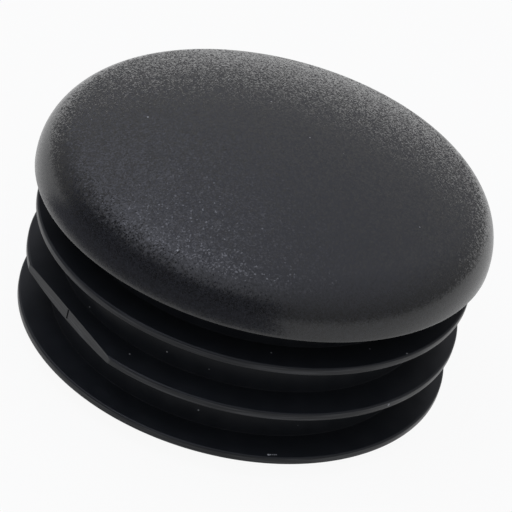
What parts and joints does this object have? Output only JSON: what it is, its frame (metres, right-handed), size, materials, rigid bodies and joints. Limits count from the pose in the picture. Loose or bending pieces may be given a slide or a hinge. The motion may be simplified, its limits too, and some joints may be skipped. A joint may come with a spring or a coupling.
{
  "type": "tube end cap",
  "caption": "Push-in end cap for a round tube: a low domed head over a hollow plug, with thin flexible fins round the plug that grip the bore.",
  "frame": {"origin": "centre of the seat, the flat underside of the head that lands on the end of the tube", "axes": "+Z out of the tube through the crown of the dome, -Z down the tube, -Y through the middle of the flat on the middle fin"},
  "size_m": [0.06, 0.06, 0.0341],
  "materials": {
    "black_polyethylene": "injection moulded, fine leather grain on the head and a smooth satin plug"
  },
  "bodies": {
    "root": {"end_cap": "black_polyethylene"}
  },
  "joints": []
}
